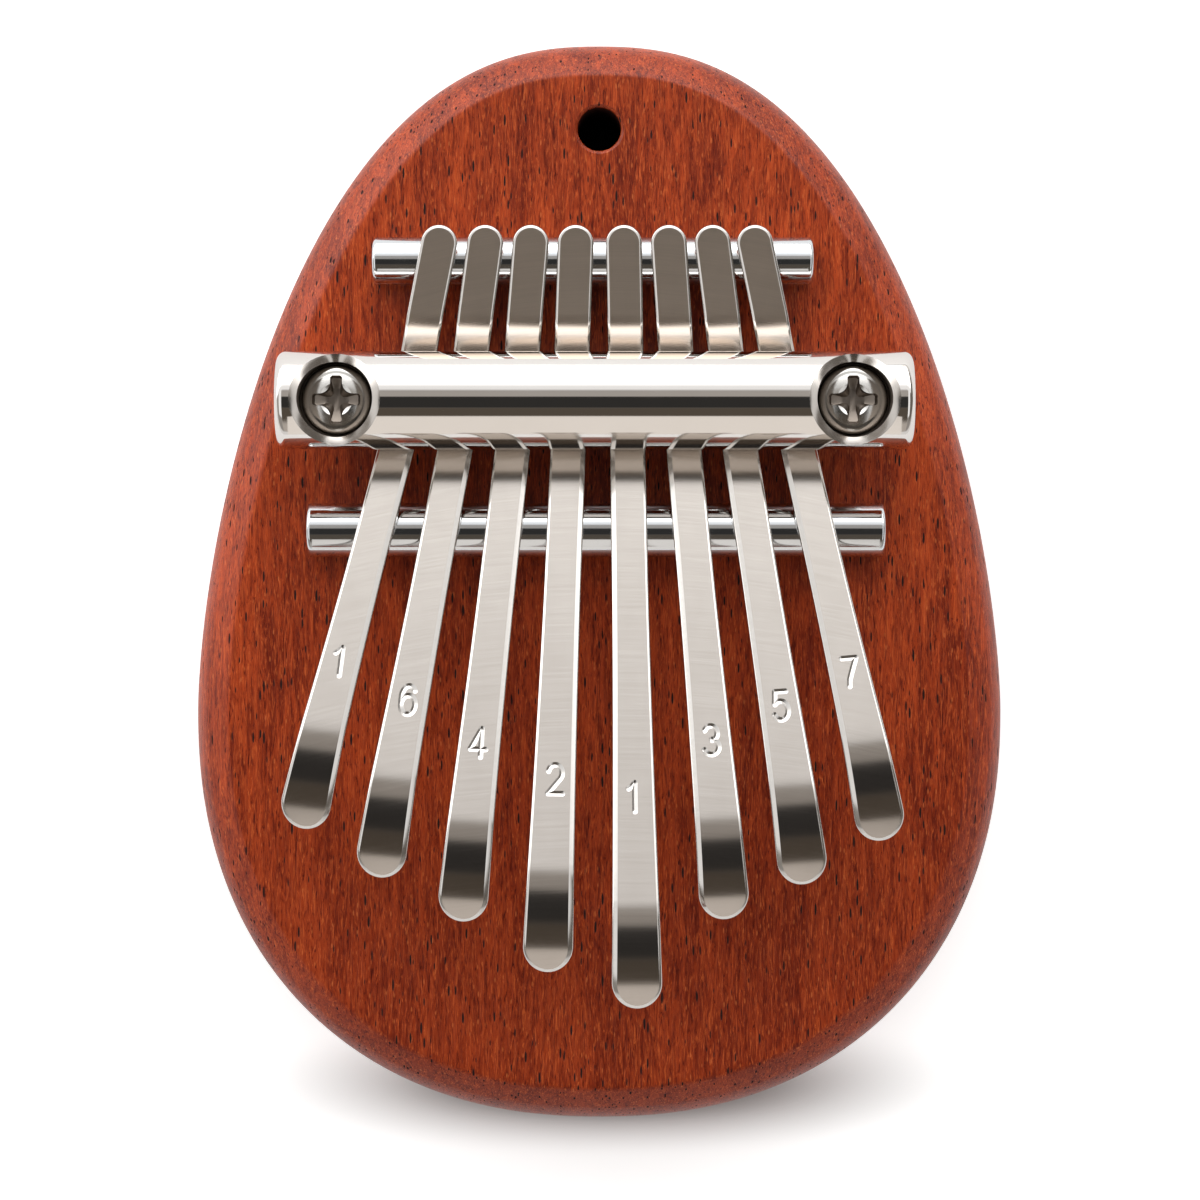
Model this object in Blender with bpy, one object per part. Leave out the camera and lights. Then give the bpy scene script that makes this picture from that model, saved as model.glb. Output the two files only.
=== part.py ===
# Kalimba with eight steel tines on a solid egg-shaped board.
# It lies on its back: +Z out of the playing side, +Y towards the hanging hole, metres.
# Two steel rods carry the tines, and a drilled round bar between them, pulled down
# by two wood screws, bends every tine into a shallow valley and so holds it.

import math

import bmesh
import bpy
from mathutils import Vector

# Clearances
GAP = 0.0003                    # between pieces that touch on the real instrument
BAR_GAP = 0.00035               # between the bar and the tines that it presses on
HEAD_GAP = 0.0002               # around a screw head in its counterbore

# Board
BOARD_LENGTH = 0.100
BOARD_WIDTH = 0.075
BOARD_THICKNESS = 0.014
WIDEST_Y = -0.012               # the widest line, from the middle of the length
NARROW_ACROSS_POWER = 2.4       # fullness of the end with the hole, across and along
NARROW_ALONG_POWER = 1.63
BROAD_ACROSS_POWER = 2.23       # fullness of the end under the tips, across and along
BROAD_ALONG_POWER = 2.23
BEVEL_WIDTH = 0.0018            # sanded bevel around the playing face
BEVEL_DEPTH = 0.0013
SIDE_ROUND_WIDTH = 0.0013       # soft shoulder between the bevel and the side
SIDE_ROUND_DEPTH = 0.0032
BACK_ROUND = 0.0026             # quarter round along the back
HOLE_RADIUS = 0.0020            # hanging hole
HOLE_CHAMFER = 0.0003
HOLE_TO_END = 0.0082            # from the hole's centre to the narrow end

# Pressure bar
BAR_Y = 0.01635
BAR_RADIUS = 0.00445
BAR_END_ROUND = 0.0009
BAR_END_WALL = 0.00205          # steel left between the counterbore and the bar's end
COUNTERBORE_DEPTH = 0.0050      # from the bar's crown to the seat of the screw head
RIM_WIDTH = 0.0007              # chamfer that follows the edge of the counterbore
RIM_DEPTH = 0.0005

# Bridge rods
FRONT_ROD_RADIUS = 0.0025
FRONT_ROD_DISTANCE = 0.01165    # from the bar towards the tips
FRONT_ROD_OVERHANGS = (0.0048, 0.0048)      # past the outer tines, left and right
REAR_ROD_RADIUS = 0.0022
REAR_ROD_DISTANCE = 0.0131      # from the bar towards the hanging hole
REAR_ROD_OVERHANGS = (0.0043, 0.0035)
ROD_END_ROUND = 0.0004
ROD_SEAT_DEPTH = 0.0008         # each rod lies in a shallow groove in the board

# Tines, from left to right
TINE_THICKNESS = 0.0010
TINE_WIDTH = 0.0033
TIP_WIDTH = 0.0045
TINE_EDGE = 0.0003              # eased upper edges
TINE_LIFT = 0.0015              # under the bar, above the board
TAIL_LENGTH = 0.0031            # past the rear rod
SPEAKING_LENGTHS = (0.02670, 0.03100, 0.03485, 0.03925, 0.04240, 0.03465, 0.03160, 0.02775)
TAIL_GAPS = (0.00090, 0.00085, 0.00080, 0.00110, 0.00080, 0.00070, 0.00055)
BAR_GAPS = (0.00180, 0.00165, 0.00150, 0.00190, 0.00155, 0.00160, 0.00175)
TIP_GAPS = (0.00235, 0.00285, 0.00305, 0.00340, 0.00325, 0.00250, 0.00250)
TAIL_ROW_X = -0.0002            # middle of the row of tails
BAR_ROW_X = -0.0001             # middle of the row under the bar
TIP_ROW_X = -0.0006             # middle of the row of tips
FLARE_POWER = 1.6               # the blade widens slowly at first
TIP_BEND_LENGTH = 0.0092        # the last stretch curls down under the thumbs
TIP_BEND_RADIUS = 0.0120

# Clamp screws
SCREW_RADIUS = 0.00175
LEFT_SCREW_TO_TINE = 0.00115    # from the outer tine's edge to the counterbore
RIGHT_SCREW_TO_TINE = 0.00055
SCREW_TAPER = 0.0035
SCREW_POINT_RADIUS = 0.0003
WOOD_UNDER_SCREW = 0.0045       # board left below the screw's point
HEAD_RADIUS = 0.0032
HEAD_HEIGHT = 0.0023
HEAD_DOME = 0.00035
HEAD_SHOULDER = 0.0011
RECESS_REACH = 0.0020           # cross recess, from its centre to the end of an arm
RECESS_ARM_WIDTH = 0.0010
RECESS_DEPTH = 0.0016
RECESS_TAPER = 0.5              # the recess narrows to this share at its floor

# Facets
OUTLINE_STEPS = 96
BAR_STEPS = 48
ROD_STEPS = 32
SCREW_STEPS = 32
BORE_STEPS = 40
HOLE_STEPS = 24

# Heights and places that follow from the sizes above
FRONT_ROD_Y = BAR_Y - FRONT_ROD_DISTANCE
REAR_ROD_Y = BAR_Y + REAR_ROD_DISTANCE
FRONT_ROD_Z = BOARD_THICKNESS - ROD_SEAT_DEPTH + FRONT_ROD_RADIUS
REAR_ROD_Z = BOARD_THICKNESS - ROD_SEAT_DEPTH + REAR_ROD_RADIUS
WRAP_RADIUS = BAR_RADIUS + BAR_GAP + TINE_THICKNESS     # underside of a tine round the bar
BAR_Z = BOARD_THICKNESS + TINE_LIFT + WRAP_RADIUS
BORE_RADIUS = HEAD_RADIUS + HEAD_GAP
CLEARANCE_RADIUS = SCREW_RADIUS + GAP
HEAD_SEAT_Z = BAR_Z + BAR_RADIUS - COUNTERBORE_DEPTH + GAP
HOLE_Y = BOARD_LENGTH / 2 - HOLE_TO_END


def row_places(gaps, width, middle):
    """X of each tine in a row, from the widths and the gaps between them."""
    places = [0.0]
    for gap in gaps:
        places.append(places[-1] + width + gap)
    shift = middle - places[-1] / 2
    return [place + shift for place in places]


def pressed_slope(rod_distance, rod_z, rod_radius):
    """Slope of the straight stretch that runs under the bar and over a rod, touching both."""
    drop = BAR_Z - rod_z
    span = math.hypot(rod_distance, drop)
    return math.asin((WRAP_RADIUS + rod_radius + GAP) / span) - math.atan2(drop, rod_distance)


TAIL_X = row_places(TAIL_GAPS, TINE_WIDTH, TAIL_ROW_X)
BAR_X = row_places(BAR_GAPS, TINE_WIDTH, BAR_ROW_X)
TIP_X = row_places(TIP_GAPS, TIP_WIDTH, TIP_ROW_X)
BLADE_SLOPE = pressed_slope(FRONT_ROD_DISTANCE, FRONT_ROD_Z, FRONT_ROD_RADIUS)
TAIL_SLOPE = pressed_slope(REAR_ROD_DISTANCE, REAR_ROD_Z, REAR_ROD_RADIUS)
CONTACT_Y = FRONT_ROD_Y + (FRONT_ROD_RADIUS + GAP) * math.sin(BLADE_SLOPE)
CONTACT_Z = FRONT_ROD_Z + (FRONT_ROD_RADIUS + GAP) * math.cos(BLADE_SLOPE)
LEFT_SCREW_X = BAR_X[0] - TINE_WIDTH / 2 - LEFT_SCREW_TO_TINE - BORE_RADIUS
RIGHT_SCREW_X = BAR_X[-1] + TINE_WIDTH / 2 + RIGHT_SCREW_TO_TINE + BORE_RADIUS


def material(name, colour, metallic, roughness):
    """A plain finish for one kind of piece."""
    finish = bpy.data.materials.new(name)
    finish.use_nodes = True
    shader = finish.node_tree.nodes["Principled BSDF"]
    shader.inputs["Base Color"].default_value = (*colour, 1.0)
    shader.inputs["Metallic"].default_value = metallic
    shader.inputs["Roughness"].default_value = roughness
    return finish


def add_object(name, mesh_builder, finish=None, location=(0.0, 0.0, 0.0), smooth_angle=35.0):
    """Turn a bmesh into a scene object with outward faces."""
    bmesh.ops.recalc_face_normals(mesh_builder, faces=mesh_builder.faces)
    mesh = bpy.data.meshes.new(name)
    mesh_builder.to_mesh(mesh)
    mesh_builder.free()
    mesh.shade_smooth()
    mesh.set_sharp_from_angle(angle=math.radians(smooth_angle))
    piece = bpy.data.objects.new(name, mesh)
    piece.location = location
    bpy.context.scene.collection.objects.link(piece)
    if finish is not None:
        mesh.materials.append(finish)
    return piece


def add_cutter(piece, cutter_name, mesh_builder):
    """Cut a shape out of a piece with a Boolean that stays live."""
    cutter = add_object(cutter_name, mesh_builder)
    cutter.hide_render = True
    cutter.display_type = "WIRE"
    cut = piece.modifiers.new(cutter_name, "BOOLEAN")
    cut.operation = "DIFFERENCE"
    cut.solver = "EXACT"
    cut.object = cutter
    return cutter


def loft(rings):
    """A closed body through rings of equal length, with a flat cap at each end."""
    builder = bmesh.new()
    loops = [[builder.verts.new(point) for point in ring] for ring in rings]
    for lower, upper in zip(loops, loops[1:]):
        for index, corner in enumerate(lower):
            previous = index - 1
            builder.faces.new((lower[previous], corner, upper[index], upper[previous]))
    builder.faces.new(reversed(loops[0]))
    builder.faces.new(loops[-1])
    return builder


def turn_about_x(profile, steps, centre):
    """Turn (along, radius) points about an axis parallel to X through a centre."""
    builder = bmesh.new()
    vertices = [builder.verts.new((along, 0.0, radius)) for along, radius in profile]
    for first, second in zip(vertices, vertices[1:]):
        builder.edges.new((first, second))
    bmesh.ops.spin(
        builder,
        geom=builder.verts[:] + builder.edges[:],
        cent=(0.0, 0.0, 0.0),
        axis=(1.0, 0.0, 0.0),
        angle=math.tau,
        steps=steps,
        use_merge=True,
    )
    bmesh.ops.remove_doubles(builder, verts=builder.verts, dist=1e-6)
    bmesh.ops.translate(builder, vec=Vector(centre), verts=builder.verts)
    return builder


def circle(radius, steps, centre_x, centre_y, z):
    """A level ring of points."""
    points = []
    for step in range(steps):
        turn = math.tau * step / steps
        points.append((centre_x + radius * math.cos(turn), centre_y + radius * math.sin(turn), z))
    return points


def signed_power(value, power):
    return math.copysign(abs(value) ** power, value)


def egg_outline():
    """Outline of the board, anticlockwise, two superellipse halves that share the widest line."""
    outline = []
    for step in range(OUTLINE_STEPS):
        turn = math.tau * step / OUTLINE_STEPS
        if step <= OUTLINE_STEPS / 2:
            reach = BOARD_LENGTH / 2 - WIDEST_Y
            across, along = NARROW_ACROSS_POWER, NARROW_ALONG_POWER
        else:
            reach = BOARD_LENGTH / 2 + WIDEST_Y
            across, along = BROAD_ACROSS_POWER, BROAD_ALONG_POWER
        x = BOARD_WIDTH / 2 * signed_power(math.cos(turn), 2 / across)
        y = WIDEST_Y + reach * signed_power(math.sin(turn), 2 / along)
        outline.append((x, y))
    return outline


def inset_ring(outline, inset, z):
    """The outline moved inwards along its own normals, at one height."""
    ring = []
    for index, (x, y) in enumerate(outline):
        before = outline[index - 1]
        after = outline[(index + 1) % len(outline)]
        along = Vector((after[0] - before[0], after[1] - before[1])).normalized()
        ring.append((x - along.y * inset, y + along.x * inset, z))
    return ring


def board_edge():
    """Section of the board's edge as (inset, height), from the back to the playing face."""
    section = []
    back_steps = 4
    for step in range(back_steps + 1):
        turn = math.radians(90) * step / back_steps
        section.append((BACK_ROUND * (1 - math.sin(turn)), BACK_ROUND * (1 - math.cos(turn))))
    shoulder_top = BOARD_THICKNESS - BEVEL_DEPTH
    shoulder_steps = 4
    shoulder_end = math.radians(45)
    for step in range(shoulder_steps + 1):
        turn = shoulder_end * step / shoulder_steps
        inset = SIDE_ROUND_WIDTH * (1 - math.cos(turn)) / (1 - math.cos(shoulder_end))
        rise = SIDE_ROUND_DEPTH * math.sin(turn) / math.sin(shoulder_end)
        section.append((inset, shoulder_top - SIDE_ROUND_DEPTH + rise))
    section.append((SIDE_ROUND_WIDTH + BEVEL_WIDTH, BOARD_THICKNESS))
    return section


def rod_span(rod_y, overhangs):
    """Middle and half length of a rod that reaches past the outer tines."""
    left = tine_x_at(0, rod_y) - TINE_WIDTH / 2 - overhangs[0]
    right = tine_x_at(len(SPEAKING_LENGTHS) - 1, rod_y) + TINE_WIDTH / 2 + overhangs[1]
    return (left + right) / 2, (right - left) / 2


def tine_x_at(index, y):
    """X of a tine's middle line, which bends sideways a little under the bar."""
    if y > BAR_Y:
        end_x, end_y = TAIL_X[index], tail_centre_y()
    else:
        end_x, end_y = TIP_X[index], tip_centre_y(index)
    share = (y - BAR_Y) / (end_y - BAR_Y)
    return BAR_X[index] + (end_x - BAR_X[index]) * share


def tail_centre_y():
    return REAR_ROD_Y + TAIL_LENGTH - TINE_WIDTH / 2


def tip_centre_y(index):
    return FRONT_ROD_Y - SPEAKING_LENGTHS[index] + TIP_WIDTH / 2


def line_height(start, slope):
    def height(distance):
        return start.y + (distance - start.x) * math.tan(slope), slope
    return height


def arc_height(centre, radius, side):
    """An arc below its centre (side 1) or above it (side -1)."""
    def height(distance):
        lean = (distance - centre.x) / radius
        return centre.y - side * radius * math.sqrt(1 - lean * lean), side * math.asin(lean)
    return height


def tine_path(index):
    """Underside of a tine seen from the side: tail, wrap under the bar, blade and tip bend.

    Distances run along -Y from the bar. Each stretch is (end, height function), and
    the height function gives the height and the slope at a distance.
    """
    bar_centre = Vector((0.0, BAR_Z))
    wrap_start = bar_centre - WRAP_RADIUS * Vector((math.sin(TAIL_SLOPE), math.cos(TAIL_SLOPE)))
    wrap_end = bar_centre - WRAP_RADIUS * Vector((-math.sin(BLADE_SLOPE), math.cos(BLADE_SLOPE)))
    blade_end = FRONT_ROD_DISTANCE + SPEAKING_LENGTHS[index]
    blade_height = line_height(wrap_end, BLADE_SLOPE)
    bend_start = Vector((blade_end - TIP_BEND_LENGTH, 0.0))
    bend_start.y = blade_height(bend_start.x)[0]
    bend_centre = bend_start + TIP_BEND_RADIUS * Vector((math.sin(BLADE_SLOPE), -math.cos(BLADE_SLOPE)))
    return (
        (wrap_start.x, line_height(wrap_start, -TAIL_SLOPE)),
        (wrap_end.x, arc_height(bar_centre, WRAP_RADIUS, 1)),
        (bend_start.x, blade_height),
        (blade_end, arc_height(bend_centre, TIP_BEND_RADIUS, -1)),
    )


def height_at(path, distance):
    for end, height in path:
        if distance <= end:
            return height(distance)
    return path[-1][1](distance)


def steps_between(start, end, steps):
    return [start + (end - start) * step / steps for step in range(steps + 1)]


def tine_stations(index, path):
    """Stations along a tine as (distance, push past it, half width, share left at a round end)."""
    wrap_steps = 8
    blade_steps = 6
    tip_steps = 6
    end_steps = 5
    wrap_start, wrap_end, bend_start, _ = [end for end, _ in path]
    tip_centre = BAR_Y - tip_centre_y(index)
    distances = [BAR_Y - tail_centre_y()]
    distances += steps_between(wrap_start, wrap_end, wrap_steps)
    distances += steps_between(FRONT_ROD_DISTANCE, bend_start, blade_steps)
    distances += steps_between(bend_start, tip_centre, tip_steps)[1:]
    stations = []
    tail_radius = TINE_WIDTH / 2
    for step in range(end_steps):
        turn = math.radians(90) * step / end_steps
        stations.append((distances[0], -tail_radius * math.cos(turn), tail_radius, math.sin(turn)))
    for distance in distances:
        flare = max(0.0, (distance - FRONT_ROD_DISTANCE) / (tip_centre - FRONT_ROD_DISTANCE))
        half_width = TINE_WIDTH / 2 + (TIP_WIDTH - TINE_WIDTH) / 2 * flare ** FLARE_POWER
        stations.append((distance, 0.0, half_width, 1.0))
    tip_radius = TIP_WIDTH / 2
    for step in range(1, end_steps + 1):
        turn = math.radians(90) * step / end_steps
        stations.append((tip_centre, tip_radius * math.sin(turn), tip_radius, math.cos(turn)))
    return stations


def tine_ring(index, path, stations, inset, lift):
    """One ring round a tine's plan outline, at a height above its underside."""
    left, right = [], []
    for distance, push, half_width, share in stations:
        y = BAR_Y - distance
        x_behind = tine_x_at(index, y + half_width)
        x_ahead = tine_x_at(index, y - half_width)
        ahead = Vector((x_ahead - x_behind, -2 * half_width)).normalized()
        kept = (half_width - inset) / half_width
        centre = Vector((tine_x_at(index, y), y)) + ahead * push * kept
        reach = half_width * kept * share
        for side, row in ((1, left), (-1, right)):
            corner = centre + side * reach * Vector((-ahead.y, ahead.x))
            z, slope = height_at(path, BAR_Y - corner.y)
            row.append((corner.x, corner.y + lift * math.sin(slope), z + lift * math.cos(slope)))
    return left, right


def tine_mesh(index, origin):
    """A bent, flared strip with round ends and eased upper edges."""
    path = tine_path(index)
    stations = tine_stations(index, path)
    layers = (
        (0.0, 0.0),
        (0.0, TINE_THICKNESS - TINE_EDGE),
        (TINE_EDGE, TINE_THICKNESS),
    )
    builder = bmesh.new()
    rings = []
    for inset, lift in layers:
        left, right = tine_ring(index, path, stations, inset, lift)
        left_verts = [builder.verts.new(Vector(point) - Vector(origin)) for point in left]
        right_verts = [left_verts[0]]
        right_verts += [builder.verts.new(Vector(point) - Vector(origin)) for point in right[1:-1]]
        right_verts.append(left_verts[-1])
        rings.append((left_verts, right_verts))
    for (low_left, low_right), (high_left, high_right) in zip(rings, rings[1:]):
        for low, high in ((low_left, high_left), (low_right, high_right)):
            for index_ahead in range(1, len(low)):
                back = index_ahead - 1
                builder.faces.new((low[back], low[index_ahead], high[index_ahead], high[back]))
    for left_verts, right_verts in (rings[0], rings[-1]):
        for index_ahead in range(1, len(left_verts)):
            back = index_ahead - 1
            corners = (left_verts[back], left_verts[index_ahead], right_verts[index_ahead], right_verts[back])
            builder.faces.new(list(dict.fromkeys(corners)))
    return builder


def rod_profile(half_length, radius, end_round, round_steps):
    """Half section of a round rod with rounded ends."""
    profile = [(-half_length, 0.0)]
    for step in range(round_steps + 1):
        turn = math.radians(90) * step / round_steps
        along = half_length - end_round * (1 - math.cos(turn))
        profile.append((-along, radius - end_round * (1 - math.sin(turn))))
    return profile + [(-along, height) for along, height in reversed(profile)]


def build_board(wood):
    outline = egg_outline()
    rings = [inset_ring(outline, inset, z) for inset, z in board_edge()]
    board = add_object("sound_board", loft(rings), wood)
    hole_rings = [
        circle(HOLE_RADIUS + 2 * HOLE_CHAMFER, HOLE_STEPS, 0.0, HOLE_Y, -HOLE_CHAMFER),
        circle(HOLE_RADIUS, HOLE_STEPS, 0.0, HOLE_Y, HOLE_CHAMFER),
        circle(HOLE_RADIUS, HOLE_STEPS, 0.0, HOLE_Y, BOARD_THICKNESS - HOLE_CHAMFER),
        circle(HOLE_RADIUS + 2 * HOLE_CHAMFER, HOLE_STEPS, 0.0, HOLE_Y, BOARD_THICKNESS + HOLE_CHAMFER),
    ]
    add_cutter(board, "hanging_hole_cutter", loft(hole_rings))
    rods = (
        ("front_groove_cutter", FRONT_ROD_Y, FRONT_ROD_Z, FRONT_ROD_RADIUS, FRONT_ROD_OVERHANGS),
        ("rear_groove_cutter", REAR_ROD_Y, REAR_ROD_Z, REAR_ROD_RADIUS, REAR_ROD_OVERHANGS),
    )
    for name, rod_y, rod_z, radius, overhangs in rods:
        middle, half_length = rod_span(rod_y, overhangs)
        profile = rod_profile(half_length + GAP, radius + GAP, ROD_END_ROUND, 1)
        add_cutter(board, name, turn_about_x(profile, ROD_STEPS, (middle, rod_y, rod_z)))
    for side, screw_x in (("left", LEFT_SCREW_X), ("right", RIGHT_SCREW_X)):
        point_z = WOOD_UNDER_SCREW
        pilot_rings = [
            circle(SCREW_POINT_RADIUS + GAP, SCREW_STEPS, screw_x, BAR_Y, point_z - GAP),
            circle(CLEARANCE_RADIUS, SCREW_STEPS, screw_x, BAR_Y, point_z + SCREW_TAPER - GAP),
            circle(CLEARANCE_RADIUS, SCREW_STEPS, screw_x, BAR_Y, BOARD_THICKNESS + GAP),
        ]
        add_cutter(board, side + "_pilot_cutter", loft(pilot_rings))
    return board


def build_rods(chrome):
    rods = (
        ("front_bridge_rod", FRONT_ROD_Y, FRONT_ROD_Z, FRONT_ROD_RADIUS, FRONT_ROD_OVERHANGS),
        ("rear_bridge_rod", REAR_ROD_Y, REAR_ROD_Z, REAR_ROD_RADIUS, REAR_ROD_OVERHANGS),
    )
    for name, rod_y, rod_z, radius, overhangs in rods:
        middle, half_length = rod_span(rod_y, overhangs)
        profile = rod_profile(half_length, radius, ROD_END_ROUND, 2)
        add_object(name, turn_about_x(profile, ROD_STEPS, (middle, rod_y, rod_z)), chrome)


def counterbore_rings(screw_x):
    """Rings of the cutter for one screw: clearance hole, seat, bore and saddle-shaped rim."""
    seat_z = BAR_Z + BAR_RADIUS - COUNTERBORE_DEPTH
    above = BAR_Z + BAR_RADIUS + GAP
    overshoot = 1.4             # carries the rim's slope on through the bar's surface
    rings = [
        circle(CLEARANCE_RADIUS, BORE_STEPS, screw_x, BAR_Y, BAR_Z - BAR_RADIUS - GAP),
        circle(CLEARANCE_RADIUS, BORE_STEPS, screw_x, BAR_Y, seat_z),
        circle(BORE_RADIUS, BORE_STEPS, screw_x, BAR_Y, seat_z),
    ]
    rim_radius = min(BORE_RADIUS + RIM_WIDTH, BAR_RADIUS)
    bore_edge, rim_edge, rim_top = [], [], []
    for step in range(BORE_STEPS):
        turn = math.tau * step / BORE_STEPS
        cosine, sine = math.cos(turn), math.sin(turn)
        bore_rise = math.sqrt(max(0.0, BAR_RADIUS ** 2 - (BORE_RADIUS * sine) ** 2)) - RIM_DEPTH
        rim_rise = math.sqrt(max(0.0, BAR_RADIUS ** 2 - (rim_radius * sine) ** 2))
        reach = BORE_RADIUS + (rim_radius - BORE_RADIUS) * overshoot
        rise = bore_rise + (rim_rise - bore_rise) * overshoot
        bore_edge.append((screw_x + BORE_RADIUS * cosine, BAR_Y + BORE_RADIUS * sine, BAR_Z + bore_rise))
        rim_edge.append((screw_x + reach * cosine, BAR_Y + reach * sine, BAR_Z + rise))
        rim_top.append((screw_x + reach * cosine, BAR_Y + reach * sine, max(above, BAR_Z + rise + GAP)))
    return rings + [bore_edge, rim_edge, rim_top]


def build_bar(chrome):
    left = LEFT_SCREW_X - BORE_RADIUS - BAR_END_WALL
    right = RIGHT_SCREW_X + BORE_RADIUS + BAR_END_WALL
    profile = rod_profile((right - left) / 2, BAR_RADIUS, BAR_END_ROUND, 3)
    builder = turn_about_x(profile, BAR_STEPS, ((left + right) / 2, BAR_Y, BAR_Z))
    bar = add_object("pressure_bar", builder, chrome)
    for side, screw_x in (("left", LEFT_SCREW_X), ("right", RIGHT_SCREW_X)):
        add_cutter(bar, side + "_counterbore_cutter", loft(counterbore_rings(screw_x)))


def build_tines(steel):
    for index in range(len(SPEAKING_LENGTHS)):
        origin = (tine_x_at(index, CONTACT_Y), CONTACT_Y, CONTACT_Z)
        add_object("tine_" + str(index + 1), tine_mesh(index, origin), steel, origin)


def cross_ring(reach, arm_width, centre_x, z):
    """Outline of a cross with a soft web between its arms."""
    web = arm_width * 0.75
    corners = ((reach, -arm_width / 2), (reach, arm_width / 2), (web, web))
    ring = []
    for quarter in range(4):
        turn = math.radians(90) * quarter
        cosine, sine = math.cos(turn), math.sin(turn)
        for x, y in corners:
            ring.append((centre_x + x * cosine - y * sine, BAR_Y + x * sine + y * cosine, z))
    return ring


def screw_profile():
    """Half section of a pan-head screw as (radius, height), from its point to its crown."""
    shoulder_top = HEAD_SEAT_Z + HEAD_HEIGHT - HEAD_DOME
    profile = [
        (0.0, WOOD_UNDER_SCREW),
        (SCREW_POINT_RADIUS, WOOD_UNDER_SCREW),
        (SCREW_RADIUS, WOOD_UNDER_SCREW + SCREW_TAPER),
        (SCREW_RADIUS, HEAD_SEAT_Z),
        (HEAD_RADIUS, HEAD_SEAT_Z),
    ]
    shoulder_steps = 3
    for step in range(shoulder_steps + 1):
        turn = math.radians(90) * step / shoulder_steps
        radius = HEAD_RADIUS - HEAD_SHOULDER * (1 - math.cos(turn))
        profile.append((radius, shoulder_top - HEAD_SHOULDER * (1 - math.sin(turn))))
    dome_steps = 2
    dome_reach = HEAD_RADIUS - HEAD_SHOULDER
    for step in range(1, dome_steps + 1):
        radius = dome_reach * (1 - step / dome_steps)
        profile.append((radius, shoulder_top + HEAD_DOME * (1 - (radius / dome_reach) ** 2)))
    return profile


def build_screws(steel):
    for side, screw_x in (("left", LEFT_SCREW_X), ("right", RIGHT_SCREW_X)):
        builder = turn_about_x([(z, radius) for radius, z in screw_profile()], SCREW_STEPS, (0.0, 0.0, 0.0))
        for vertex in builder.verts:
            vertex.co = Vector((screw_x + vertex.co.y, BAR_Y + vertex.co.z, vertex.co.x))
        screw = add_object("clamp_screw_" + side, builder, steel)
        crown_z = HEAD_SEAT_Z + HEAD_HEIGHT
        recess_rings = [
            cross_ring(RECESS_REACH * RECESS_TAPER, RECESS_ARM_WIDTH * RECESS_TAPER, screw_x,
                       crown_z - RECESS_DEPTH),
            cross_ring(RECESS_REACH, RECESS_ARM_WIDTH, screw_x, crown_z + GAP),
        ]
        add_cutter(screw, side + "_recess_cutter", loft(recess_rings))


def build_kalimba():
    for old in list(bpy.data.objects):
        bpy.data.objects.remove(old)
    wood = material("red_brown_wood", (0.31, 0.07, 0.025), 0.0, 0.5)
    chrome = material("chromed_steel", (0.82, 0.82, 0.83), 1.0, 0.08)
    spring_steel = material("spring_steel", (0.66, 0.64, 0.61), 1.0, 0.32)
    screw_steel = material("screw_steel", (0.70, 0.70, 0.70), 1.0, 0.2)
    build_board(wood)
    build_rods(chrome)
    build_bar(chrome)
    build_tines(spring_steel)
    build_screws(screw_steel)


build_kalimba()
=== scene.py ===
import math

import bmesh
import bpy
from mathutils import Matrix, Vector


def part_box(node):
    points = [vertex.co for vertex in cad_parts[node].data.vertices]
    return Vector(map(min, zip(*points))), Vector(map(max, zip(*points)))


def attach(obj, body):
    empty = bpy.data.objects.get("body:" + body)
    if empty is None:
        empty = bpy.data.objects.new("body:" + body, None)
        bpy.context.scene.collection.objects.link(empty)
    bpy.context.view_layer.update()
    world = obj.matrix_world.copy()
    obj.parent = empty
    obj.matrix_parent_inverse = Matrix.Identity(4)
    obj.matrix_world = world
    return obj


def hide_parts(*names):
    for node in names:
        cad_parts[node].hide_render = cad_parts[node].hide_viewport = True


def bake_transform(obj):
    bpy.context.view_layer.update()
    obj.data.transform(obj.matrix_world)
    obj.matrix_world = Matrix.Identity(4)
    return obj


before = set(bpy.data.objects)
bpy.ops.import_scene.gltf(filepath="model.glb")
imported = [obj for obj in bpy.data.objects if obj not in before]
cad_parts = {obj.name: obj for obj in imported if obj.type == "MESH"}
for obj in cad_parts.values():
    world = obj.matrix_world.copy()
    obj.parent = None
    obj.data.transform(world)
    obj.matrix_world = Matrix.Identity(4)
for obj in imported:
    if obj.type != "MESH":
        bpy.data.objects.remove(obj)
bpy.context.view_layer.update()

# The kalimba's sizes in metres, as in the frame
BOARD_LENGTH = 0.100
BOARD_WIDTH = 0.075
BOARD_THICKNESS = 0.014
WIDEST_Y = -0.012
NARROW_ACROSS_POWER = 2.4
NARROW_ALONG_POWER = 1.63
BROAD_ACROSS_POWER = 2.23
BROAD_ALONG_POWER = 2.23
BEVEL_WIDTH = 0.0018
BEVEL_DEPTH = 0.0013
BEVEL_SOFTENING = 0.0003
SIDE_ROUND_WIDTH = 0.0013
SIDE_ROUND_DEPTH = 0.0032
BACK_ROUND = 0.0026
HOLE_Y = 0.0418
HOLE_RADIUS = 0.0020
HOLE_CHAMFER = 0.0003
HOLE_LIP = ((-1.0, 2.0), (0.0, 1.0), (0.55, 0.25), (1.2, 0.0))  # (depth, widening) in chamfers
GAP = 0.0003
FIT_GAP = 0.00002

BAR_END_ROUND = 0.0009
COUNTERBORE_DEPTH = 0.0050
RIM_WIDTH = 0.0007
RIM_DEPTH = 0.00020
LIP_POWER = 1.3
LIP_STEPS = 6
LIP_END = (1.25, -0.1)  # where the cutter stands clear of the lip, in rim widths and depths
ROD_END_ROUND = 0.0004
BAR_GAP = 0.00035

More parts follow.
